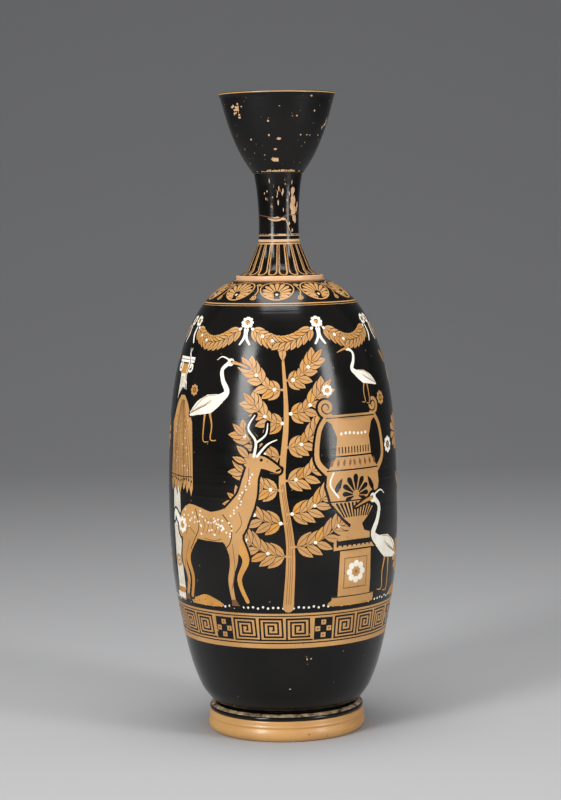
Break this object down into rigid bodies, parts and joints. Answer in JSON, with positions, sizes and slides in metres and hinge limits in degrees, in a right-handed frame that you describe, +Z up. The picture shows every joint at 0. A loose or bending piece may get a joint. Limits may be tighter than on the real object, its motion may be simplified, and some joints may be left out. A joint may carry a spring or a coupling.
{
  "type": "oil jar",
  "caption": "Tall ceramic oil jar with a calyx-shaped mouth, narrow flaring neck, long egg-shaped body, moulded disc foot and one strap handle at the back.",
  "frame": {"origin": "centre of the resting face under the foot", "axes": "+Z up along the turning axis, -Y towards the decorated front, +Y towards the handle"},
  "size_m": [0.1622, 0.1622, 0.45],
  "materials": {
    "black_gloss": "black clay-slip gloss over fired clay, semi-gloss, with reserved orange figures and ornament, chips and pinholes",
    "fired_clay": "bare orange-tan fired clay, smoothed, satin to matt"
  },
  "bodies": {
    "root": {"foot": "fired_clay", "foot_fillet": "black_gloss", "body": "black_gloss", "shoulder_collar": "fired_clay", "neck": "black_gloss", "mouth": "black_gloss", "handle": "black_gloss"}
  },
  "joints": []
}
